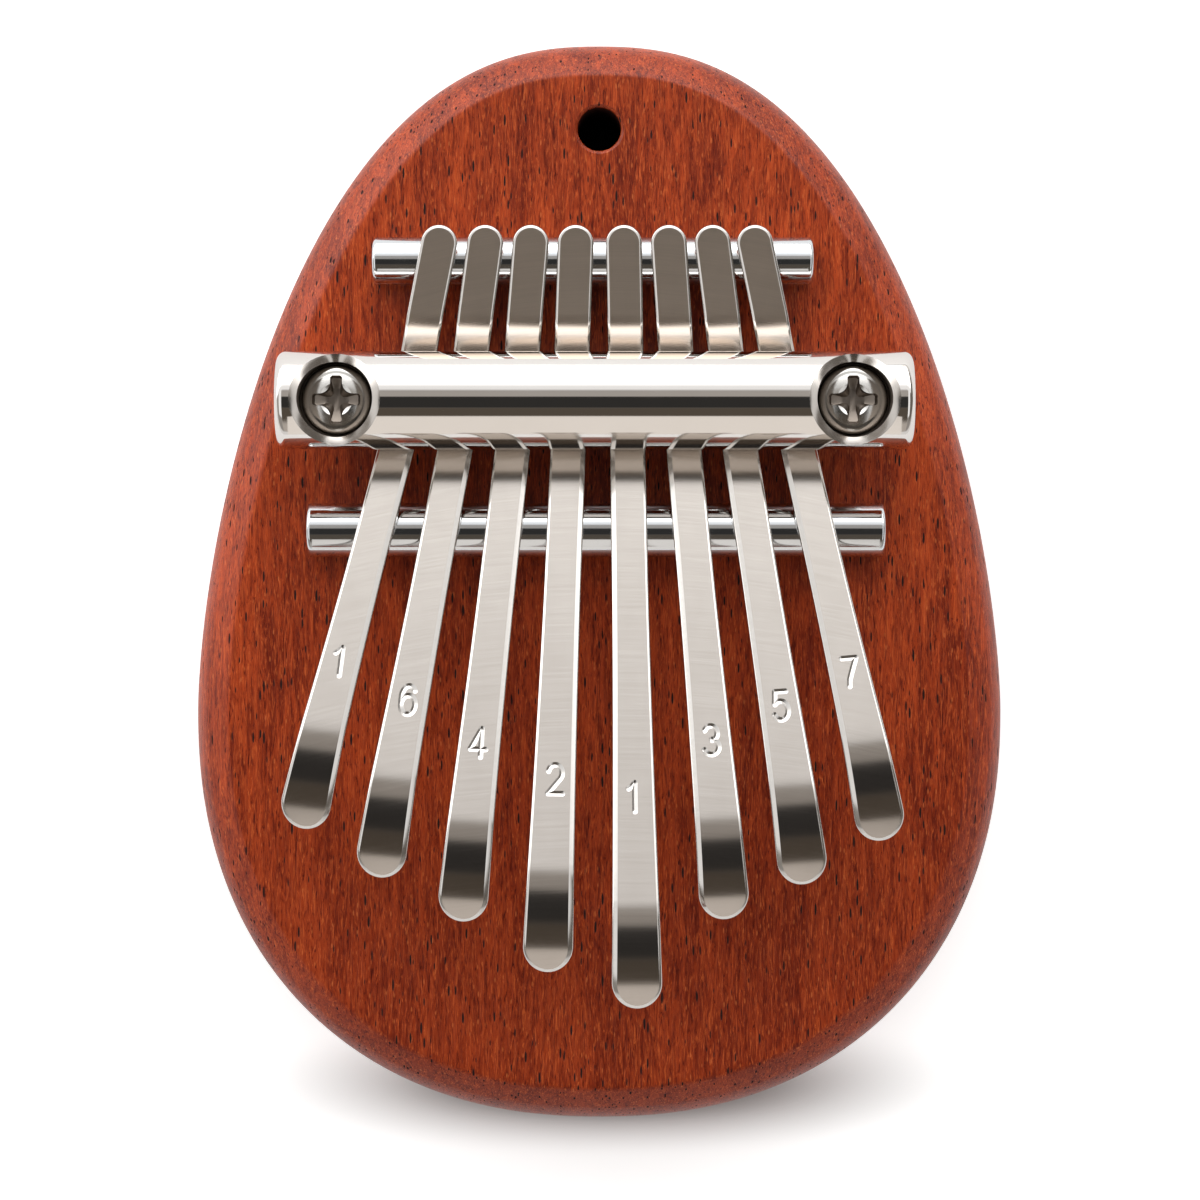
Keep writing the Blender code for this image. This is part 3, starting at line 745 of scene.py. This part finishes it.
def make_clamp_screws(finish, hollow_shade):
    for node, name in (("clamp_screw_left", "left_screw"), ("clamp_screw_right", "right_screw")):
        low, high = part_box(node)
        place = along_z((low.x + high.x) / 2, (low.y + high.y) / 2)
        seat_z = high.z - HEAD_HEIGHT
        profile = head_profile(seat_z, high.z, (high.x - low.x) / 2)
        head = new_piece(name, turned(profile, 128, place), finish, SCREW_CREASE)
        carve(head, cross_recess(high.z, place, finish, hollow_shade), RECESS_CREASE)
        shank = new_piece(name + "_shank", threaded_shank(low.z, seat_z, place), finish, SCREW_CREASE)
        hand_over(head, node, "clamped_board")
        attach(shank, "clamped_board")


def threaded_shank(point_z, seat_z, place):
    """Core and helical thread of a wood screw, from its point to its head."""
    length = seat_z - point_z
    count = int(length / THREAD_PITCH * THREAD_RINGS)
    rings = []
    for row in range(count + 1):
        z = point_z + length * row / count
        taper = min(1.0, SCREW_POINT_SHARE + (z - point_z) / SCREW_TAPER)
        fade = min(1.0, max(0.0, (seat_z - PLAIN_LENGTH - z) / THREAD_PITCH))
        core = SCREW_CORE_RADIUS + (SCREW_RADIUS - SCREW_CORE_RADIUS) * PLAIN_RISE * (1.0 - fade)
        ring = []
        for step in range(THREAD_SIDES):
            turn = math.tau * step / THREAD_SIDES
            phase = ((z - point_z) / THREAD_PITCH - step / THREAD_SIDES) % 1.0
            crest = max(0.0, 1.0 - abs(phase - 0.5) / THREAD_FLANK)
            radius = (core + (SCREW_RADIUS - core) * crest * fade) * taper
            ring.append(place(z, turn, radius))
        rings.append(ring)
    return loft(rings)


def row_places(gaps, width, middle):
    """X of each tine's centre line in a row, from the gaps between the tines."""
    places = [0.0]
    for gap in gaps:
        places.append(places[-1] + width + gap)
    shift = middle - places[-1] / 2
    return [place + shift for place in places]


def right_half(index):
    return index >= len(SPEAKING_LENGTHS) / 2


class TineRow:
    """Where the tines run: their plan lines and the side profile that the clamp gives them."""

    def __init__(self):
        self.bar, _, bar_radius = rod_at("pressure_bar")
        self.front, _, front_radius = rod_at("front_bridge_rod")
        self.rear, _, rear_radius = rod_at("rear_bridge_rod")
        self.wrap = bar_radius + BAR_GAP + TINE_THICKNESS
        self.valley_start = self.wrap * math.sin(VALLEY_SLOPE)
        self.valley_z = self.bar.z - self.wrap * math.cos(VALLEY_SLOPE)
        self.front_reach = self.bar.y - self.front.y
        self.rear_reach = self.rear.y - self.bar.y
        self.blade_slope = self.pressed_slope(self.front_reach, self.front.z, front_radius)
        self.tail_slope = self.rear_slope(self.rear.z, rear_radius)
        self.contact_y = self.front.y + (front_radius + GAP) * math.sin(self.blade_slope)
        self.tails = row_places(TAIL_GAPS, TINE_WIDTH, TAIL_ROW_X)
        self.middles = row_places(BAR_GAPS, TINE_WIDTH, BAR_ROW_X)
        self.tips = row_places(TIP_GAPS, TIP_WIDTH, TIP_ROW_X)

    def pressed_slope(self, reach, rod_z, rod_radius):
        """Slope of the straight blade from the bar over the front rod."""
        drop = self.bar.z - rod_z
        lean = math.asin((self.wrap + rod_radius + GAP) / math.hypot(reach, drop))
        return lean - math.atan2(drop, reach)

    def rear_slope(self, rod_z, rod_radius):
        """Slope of the straight tail from the top of its step over the rear rod."""
        foot = self.valley_z + (DIP_START - self.valley_start) * math.tan(VALLEY_SLOPE)
        foot += (DIP_END - DIP_START) * math.tan(DIP_SLOPE)
        run, rise = self.rear_reach - DIP_END, foot - rod_z
        return math.asin((rod_radius + GAP) / math.hypot(run, rise)) - math.atan2(rise, run)

    def behind_bar(self, reach):
        """Height and slope of a tine's underside behind the part that wraps under the bar."""
        rise = math.tan(VALLEY_SLOPE)
        height = self.valley_z + (reach - self.valley_start) * rise
        bends = ((DIP_START, math.tan(DIP_SLOPE) - math.tan(VALLEY_SLOPE)),
                 (DIP_END, math.tan(self.tail_slope) - math.tan(DIP_SLOPE)))
        for place, change in bends:
            past = min(max((reach - place + DIP_SOFTENING) / (2 * DIP_SOFTENING), 0.0), 1.0)
            height += change * (past * past * DIP_SOFTENING + max(0.0, reach - place - DIP_SOFTENING))
            rise += change * past
        return height, -math.atan(rise)

    def tail_y(self):
        return self.rear.y + TAIL_LENGTH - TINE_WIDTH / 2

    def tip_y(self, index):
        return self.front.y - SPEAKING_LENGTHS[index] + TIP_WIDTH / 2

    def x_at(self, index, y):
        if y > self.bar.y:
            end_x, end_y = self.tails[index], self.tail_y()
        else:
            end_x, end_y = self.tips[index], self.tip_y(index)
        middle = self.middles[index]
        return middle + (end_x - middle) * (y - self.bar.y) / (end_y - self.bar.y)

    def blade_turn(self, index):
        """Angle in plan from the blade's line to Y."""
        run = self.bar.y - self.tip_y(index)
        return math.atan2(self.middles[index] - self.tips[index], run)

    def bend_start(self, index):
        return self.front_reach + SPEAKING_LENGTHS[index] - TIP_BEND_LENGTH

    def underside(self, index, distance):
        """Height and slope of a tine's underside at a distance from the bar."""
        wrap_end = self.wrap * math.sin(self.blade_slope)
        if distance < -self.valley_start:
            return self.behind_bar(-distance)
        if distance < wrap_end:
            height = self.bar.z - math.sqrt(self.wrap ** 2 - distance ** 2)
            return height, math.asin(distance / self.wrap)
        foot = self.bar.z - self.wrap * math.cos(self.blade_slope)
        start = self.bend_start(index)
        if distance < start:
            return foot + (distance - wrap_end) * math.tan(self.blade_slope), self.blade_slope
        start_z = foot + (start - wrap_end) * math.tan(self.blade_slope)
        centre = start + TIP_BEND_RADIUS * math.sin(self.blade_slope)
        centre_z = start_z - TIP_BEND_RADIUS * math.cos(self.blade_slope)
        lean = (distance - centre) / TIP_BEND_RADIUS
        return centre_z + TIP_BEND_RADIUS * math.sqrt(1 - lean * lean), -math.asin(lean)

    def stations(self, index):
        """Stations as (distance, push past it, half width, share of the width at a round end)."""
        end_steps = 14
        tip_centre = self.bar.y - self.tip_y(index)
        distances = [self.bar.y - self.tail_y()]
        stops = (
            (-DIP_END - DIP_SOFTENING, 6),
            (-DIP_END + DIP_SOFTENING, 6),
            (-DIP_START - DIP_SOFTENING, 3),
            (-DIP_START + DIP_SOFTENING, 6),
            (-self.valley_start, 3),
            (self.wrap * math.sin(self.blade_slope), 12),
            (self.front_reach, 6),
            (self.front_reach + FLEX_LENGTH, 14),
            (self.bend_start(index), 6),
            (tip_centre, 24),
        )
        for stop, steps in stops:
            start = distances[-1]
            distances += [start + (stop - start) * step / steps for step in range(1, steps + 1)]
        turns = [math.radians(90) * step / end_steps for step in range(end_steps + 1)]
        radius = TINE_WIDTH / 2
        stations = [(distances[0], -radius * math.cos(turn), radius, math.sin(turn))
                    for turn in turns[:-1]]
        for distance in distances:
            flare = max(0.0, (distance - self.front_reach) / (tip_centre - self.front_reach))
            half_width = TINE_WIDTH / 2 + (TIP_WIDTH - TINE_WIDTH) / 2 * flare ** FLARE_POWER
            stations.append((distance, 0.0, half_width, 1.0))
        radius = TIP_WIDTH / 2
        stations += [(tip_centre, radius * math.sin(turn), radius, math.cos(turn))
                     for turn in turns[1:]]
        return stations

    def edge_rows(self, index, stations, level):
        """Both edges of one level of a tine: ((left inset, lift), (right inset, lift))."""
        rows = []
        tail_level = level[0] if right_half(index) else level[1]
        tip_level = [(left + right) / 2 for left, right in zip(*level)]
        for side, blade_level in zip((-1, 1), level):
            row = []
            for distance, push, half_width, share in stations:
                behind_bar = distance < 0.0
                inset, lift = tail_level if behind_bar else blade_level
                end_inset, end_lift = tail_level if behind_bar else tip_level
                y = self.bar.y - distance
                behind = self.x_at(index, y + half_width)
                ahead_x = self.x_at(index, y - half_width)
                ahead = Vector((ahead_x - behind, -2 * half_width)).normalized()
                inset_here = inset * share + end_inset * (1 - share)
                lift_here = lift * share + end_lift * (1 - share)
                pushed = ahead * push * (half_width - end_inset) / half_width
                centre = Vector((self.x_at(index, y), y)) + pushed
                across = Vector((-ahead.y, ahead.x))
                corner = centre - side * (half_width - inset_here) * share * across
                z, slope = self.underside(index, self.bar.y - corner.y)
                shift = lift_here * math.sin(slope)
                row.append((corner.x, corner.y + shift, z + lift_here * math.cos(slope)))
            rows.append(row)
        return rows


def tine_levels(index):
    """Section of a tine's edges, left and right, as (inset, lift) from the underside up."""
    sides = []
    chamfers = (OUTER_CHAMFER, INNER_CHAMFER)
    if right_half(index):
        chamfers = (INNER_CHAMFER, OUTER_CHAMFER)
    for chamfer in chamfers:
        chamfer_foot = SHOULDER_ROUND * (1 - math.sin(CHAMFER_SLOPE))
        foot_lift = TINE_THICKNESS - (chamfer - chamfer_foot) * math.tan(CHAMFER_SLOPE)
        centre = (SHOULDER_ROUND, foot_lift - SHOULDER_ROUND * math.cos(CHAMFER_SLOPE))
        shoulder_end = 90 + math.degrees(CHAMFER_SLOPE)
        shoulder = arc(centre, (SHOULDER_ROUND, SHOULDER_ROUND), 180, shoulder_end, 5)
        sides.append((
            (LOWER_EDGE * 2, 0.0),
            (LOWER_EDGE, 0.0),
            (LOWER_EDGE * 0.3, LOWER_EDGE * 0.3),
            (0.0, LOWER_EDGE),
            *shoulder,
            (chamfer, TINE_THICKNESS),
            (chamfer + LOWER_EDGE, TINE_THICKNESS),
        ))
    return list(zip(*sides))


def tine_body(row, index):
    """A bent, flared strip with round ends and chamfered upper edges."""
    stations = row.stations(index)
    builder = bmesh.new()
    rings = []
    for level in tine_levels(index):
        left, right = row.edge_rows(index, stations, level)
        left = [builder.verts.new(point) for point in left]
        right = [builder.verts.new(point) for point in right[1:-1]]
        rings.append((left, [left[0], *right, left[-1]]))
    for level, ((low_left, low_right), (high_left, high_right)) in enumerate(zip(rings, rings[1:])):
        edge = 0 < level < len(rings) - 2
        for low, high in ((low_left, high_left), (low_right, high_right)):
            for ahead in range(1, len(low)):
                face = builder.faces.new((low[ahead - 1], low[ahead], high[ahead], high[ahead - 1]))
                face.material_index = int(edge)
    for left, right in (rings[0], rings[-1]):
        for ahead in range(1, len(left)):
            corners = (left[ahead - 1], left[ahead], right[ahead], right[ahead - 1])
            builder.faces.new(list(dict.fromkeys(corners)))
    return builder


def note_strokes(note):
    """Strokes of a plain figure, none with a sharp corner, in a box from (-1, -1) to (1, 1)."""
    strokes = {
        "1": [[(-0.72, 0.58), (-0.3, 0.72), (0.12, 1.0)], [(0.12, 1.0), (0.12, -1.0)]],
        "2": [arc((0.0, 0.42), (0.92, 0.58), 168, -32, 18) + [(-0.95, -1.0)],
              [(-0.95, -1.0), (1.0, -1.0)]],
        "3": [arc((-0.06, 0.49), (0.86, 0.51), 158, -82, 18),
              arc((-0.06, -0.47), (1.0, 0.53), 84, -160, 20)],
        "4": [[(0.42, -1.0), (0.42, 1.0)], [(0.42, 1.0), (-1.0, -0.45)],
              [(-1.0, -0.45), (1.05, -0.45)]],
        "5": [[(0.78, 1.0), (-0.66, 1.0)], [(-0.66, 1.0), (-0.80, 0.10)],
              arc((-0.02, -0.34), (0.98, 0.66), 138, -155, 22)],
        "6": [arc((0.02, 0.15), (0.97, 0.85), 38, 180, 16)
              + arc((0.0, -0.34), (0.95, 0.66), 186, 330, 12),
              arc((0.0, -0.34), (0.95, 0.66), 322, 540, 18)],
        "7": [[(-0.95, 1.0), (0.95, 1.0)], [(0.95, 1.0), (0.22, 0.05), (-0.16, -0.5), (-0.28, -1.0)]],
    }
    return strokes[note]


def fine_path(path):
    """The path's corners, with more points between them wherever they lie far apart."""
    points = [Vector(path[0])]
    for corner in path[1:]:
        start = points[-1]
        run = Vector(corner) - start
        steps = max(1, math.ceil(run.length / STROKE_STEP))
        points += [start + run * (step / steps) for step in range(1, steps + 1)]
    return points


def graver_cut(path, matrix, finish):
    """Closed shape of a cone-pointed graver drawn along a path on the blade's face."""
    reach = STROKE_WIDTH / 2 * (1 + FIT_GAP / STROKE_DEPTH)
    lean = Vector(STROKE_LEAN)
    points = fine_path(path)
    headings = [(end - start).normalized() for start, end in zip(points, points[1:])]
    last = len(points) - 1
    end_steps = 5
    sections = []

    def round_end(point, heading, side, steps):
        """Sections (left, right, bottom) of the round end that reaches out along the heading."""
        for step in steps:
            turn = math.radians(90) * step / end_steps
            middle = point + heading * reach * math.cos(turn)
            half = side * reach * math.sin(turn)
            sections.append((middle + half, middle - half, point))

    for index, point in enumerate(points):
        heading_in = headings[max(index - 1, 0)]
        heading_out = headings[min(index, last - 1)]
        mitre = (heading_in + heading_out).normalized()
        side = Vector((-mitre.y, mitre.x))
        spread = reach / max(MITRE_LIMIT, mitre.dot(heading_in))
        if index == 0:
            round_end(point, -heading_out, side, range(1, end_steps + 1))
        elif index == last:
            round_end(point, heading_in, side, range(end_steps, 0, -1))
        else:
            sections.append((point + side * spread, point - side * spread, point))
    builder = bmesh.new()

    def vertex(place, height):
        return builder.verts.new(matrix @ Vector((place.x, place.y, height)))

    start_cap = vertex(points[0] - headings[0] * reach, FIT_GAP)
    end_cap = vertex(points[-1] + headings[-1] * reach, FIT_GAP)
    bottoms = {}
    rows = []
    for left, right, bottom in sections:
        key = tuple(bottom)
        if key not in bottoms:
            bottoms[key] = vertex(bottom + lean, -STROKE_DEPTH)
        rows.append((vertex(left, FIT_GAP), vertex(right, FIT_GAP), bottoms[key]))
    for (left_a, right_a, low_a), (left_b, right_b, low_b) in zip(rows, rows[1:]):
        builder.faces.new((left_a, left_b, right_b, right_a))
        for edge_a, edge_b in ((left_a, left_b), (right_a, right_b)):
            builder.faces.new(list(dict.fromkeys((edge_a, edge_b, low_b, low_a))))
    for cap, (left, right, low) in ((start_cap, rows[0]), (end_cap, rows[-1])):
        builder.faces.new((cap, left, right))
        builder.faces.new((cap, left, low))
        builder.faces.new((cap, right, low))
    return new_piece("graver_cut", builder, finish)


def engrave_note(row, index, tine, finish):
    """Cut a tine's note number into the face of its blade."""
    turn = row.blade_turn(index)
    x, y = NOTE_CENTRES[index]
    z, slope = row.underside(index, row.bar.y - y)
    lean = Matrix.Rotation(slope, 4, "X").inverted()
    heading = Matrix.Rotation(-turn * NOTE_LEAN, 4, "Z")
    normal = lean.to_3x3() @ Vector((0.0, 0.0, 1.0))
    place = Vector((x, y, z)) + normal * TINE_THICKNESS
    matrix = Matrix.Translation(place) @ lean @ heading
    width, height = [(size - STROKE_WIDTH / 2) / 2 for size in (NOTE_WIDTH, NOTE_HEIGHT)]
    cutters = []
    for stroke in note_strokes(NOTES[index]):
        path = [(px * width, py * height) for px, py in stroke]
        cutters.append(graver_cut(path, matrix, finish))
    carve(tine, cutters, TINE_CREASE)


def make_tines(ground_edge, engraved):
    row = TineRow()
    for index in range(len(SPEAKING_LENGTHS)):
        number = index + 1
        finish = brushed_spring_steel(number, -row.blade_turn(index))
        tine = new_piece("flared_tine_" + str(number), tine_body(row, index), finish, TINE_CREASE)
        tine.data.materials.append(ground_edge)
        engrave_note(row, index, tine, engraved)
        flex = (row.contact_y, row.contact_y - FLEX_LENGTH)
        start, end = [Vector((row.x_at(index, y), y, row.front.z)) for y in flex]
        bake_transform(tine)
        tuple(start)
        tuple(end)
        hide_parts("tine_" + str(number))


def make_floor():
    """White table top, with painted shade under the board and a painted soft shadow in front of it.
    """
    builder = bmesh.new()
    signs = ((-1, -1), (1, -1), (1, 1), (-1, 1))
    corners = [(x * FLOOR_REACH, y * FLOOR_REACH, 0.0) for x, y in signs]
    builder.faces.new([builder.verts.new(corner) for corner in corners])
    material, tree, shader = new_finish("white_table", 0.0)
    place = object_place(tree)
    per_board = vector_maths(tree, "MULTIPLY", place, (2 / BOARD_WIDTH, 2 / BOARD_LENGTH, 0.0))
    open_floor = vector_maths(tree, "LENGTH", per_board, output="Value").step(*UNDER_BOARD)
    from_shadow = vector_maths(tree, "SUBTRACT", place, SHADOW_CENTRE)
    per_shadow = vector_maths(tree, "DIVIDE", from_shadow, SHADOW_REACH)
    spread = vector_maths(tree, "LENGTH", per_shadow, output="Value")
    shadow = 1.0 - spread.step(*SHADOW_FADE)
    core = 1.0 - spread.step(*SHADOW_CORE)
    # Painted shadow: the open floor darkens in the shadow's core. Painted shade: the floor under the
    # board is near black, and it shows so through the hanging hole.
    open_colour = mix_colours(tree, core * 0.8, (0.90, 0.90, 0.90), (0.20, 0.185, 0.18))
    dress(shader, mix_colours(tree, open_floor, (0.03, 0.03, 0.03), open_colour), 0.7)
    camera_ray, glossy_ray, clear_ray = [
        add_node(tree, "ShaderNodeLightPath", output=name)
        for name in ("Is Camera Ray", "Is Glossy Ray", "Is Transmission Ray")
    ]
    # The floor's glow is cut out under the board and across the painted shadow, so both stay dark
    seen = (camera_ray + (glossy_ray + clear_ray) * REFLECTED_FLOOR) * open_floor * (1.0 - shadow)
    shader.inputs["Emission Strength"].default_value = 1.0
    feed(shader.inputs["Emission Color"], mix_colours(tree, seen, (0.0, 0.0, 0.0), FLOOR_GLOW))
    new_piece("white_table_top", builder, material)


def light_studio():
    """Soft panels round a dark opening overhead, as directions on the sky."""
    world = bpy.data.worlds.new("soft_studio")
    bpy.context.scene.world = world
    world.use_nodes = True
    tree = world.node_tree
    direction = add_node(tree, "ShaderNodeTexCoord", output="Generated")
    x, y, z = [part_of(tree, direction, axis) for axis in "XYZ"]
    degrees = 180.0 / math.pi
    side = x.maths("ARCTAN2", z) * degrees
    along = y.maths("ARCTAN2", z) * degrees

    def band(angle, low, high, soft):
        return angle.step(low - soft, low + soft) * (1.0 - angle.step(high - soft, high + soft))

    def panel(*limits):
        """A panel from its low, high and soft margin in degrees along Y, then across X."""
        return band(along, *limits[:3]) * band(side, *limits[3:])

    def tip_panel():
        """The panel that the bar and the longest tines' tips reflect, kept narrow across X."""
        return band(along, -97.0, -41.0, 1.5) * band(x, -0.092, 0.086, 0.003)

    level = (0.30, 0.28, 0.26)
    # Each panel with its brightness and warmth; a later one covers those before it
    for mask, brightness, warmth in (
        (panel(-60.0, 24.0, 4.0, 50.0, 100.0, 2.0), 0.13, 0.12),
        (panel(-60.0, 24.0, 4.0, -100.0, -60.0, 2.0), 0.30, 0.08),
        (1.0 - z.step(0.10, 0.22), 0.75, 0.02),
        (panel(-97.0, -55.0, 12.0, -34.0, 34.0, 3.0), 0.42, 0.10),
        (panel(-53.0, -20.0, 8.0, -28.0, 28.0, 2.0), 0.075, 0.22),
        (tip_panel(), 0.80, 0.07),
        (panel(-45.0, 30.0, 4.0, -60.0, -28.0, 2.0), 1.0, 0.0),
        (panel(-45.0, 30.0, 4.0, 28.0, 50.0, 2.0), 1.0, 0.0),
        (panel(21.5, 105.0, 3.5, -88.0, 62.0, 3.0), 0.97, 0.0),
        (panel(38.0, 105.0, 9.0, -88.0, 62.0, 3.0), 2.8, 0.0),
        (panel(83.0, 105.0, 3.0, -88.0, 62.0, 3.0), 1.6, 0.03),
        (panel(-60.0, 74.0, 4.0, 64.0, 100.0, 2.0), 0.13, 0.12),
        (panel(6.0, 20.0, 3.0, -28.0, 28.0, 2.0), 0.38, 0.07),
        (panel(-41.0, -20.0, 1.5, -28.0, 28.0, 2.0), 0.075, 0.22),
        (panel(-20.0, 6.0, 1.5, -28.0, 28.0, 2.0), 0.030, 0.05),
    ):
        colour = (brightness * (1 + warmth), brightness, brightness * (1 - warmth))
        level = mix_colours(tree, mask, level, colour)
    background = tree.nodes["Background"]
    feed(background.inputs["Color"], level)
    background.inputs["Strength"].default_value = 1.0


def aim_camera():
    """Straight down on the playing face, with the hanging hole at the top."""
    data = bpy.data.cameras.new("overhead_camera")
    data.lens = CAMERA_LENS
    data.sensor_width = CAMERA_SENSOR
    data.clip_start = CAMERA_NEAR
    camera = bpy.data.objects.new("overhead_camera", data)
    camera.location = CAMERA_PLACE
    bpy.context.scene.collection.objects.link(camera)
    bpy.context.scene.camera = camera


def build_scene():
    hollow_shade = recess_shade_steel()
    make_sound_board(red_brown_hardwood(), hole_grain_painted_shade())
    make_rods(cool_rod_chrome())
    make_pressure_bar(polished_bar_chrome(), rolled_rim_chrome(), hollow_shade)
    make_clamp_screws(plated_screw_steel(), hollow_shade)
    make_tines(ground_edge_steel(), engraved_steel())
    make_floor()
    light_studio()
    aim_camera()
    bpy.context.scene.view_settings.view_transform = "Standard"


build_scene()
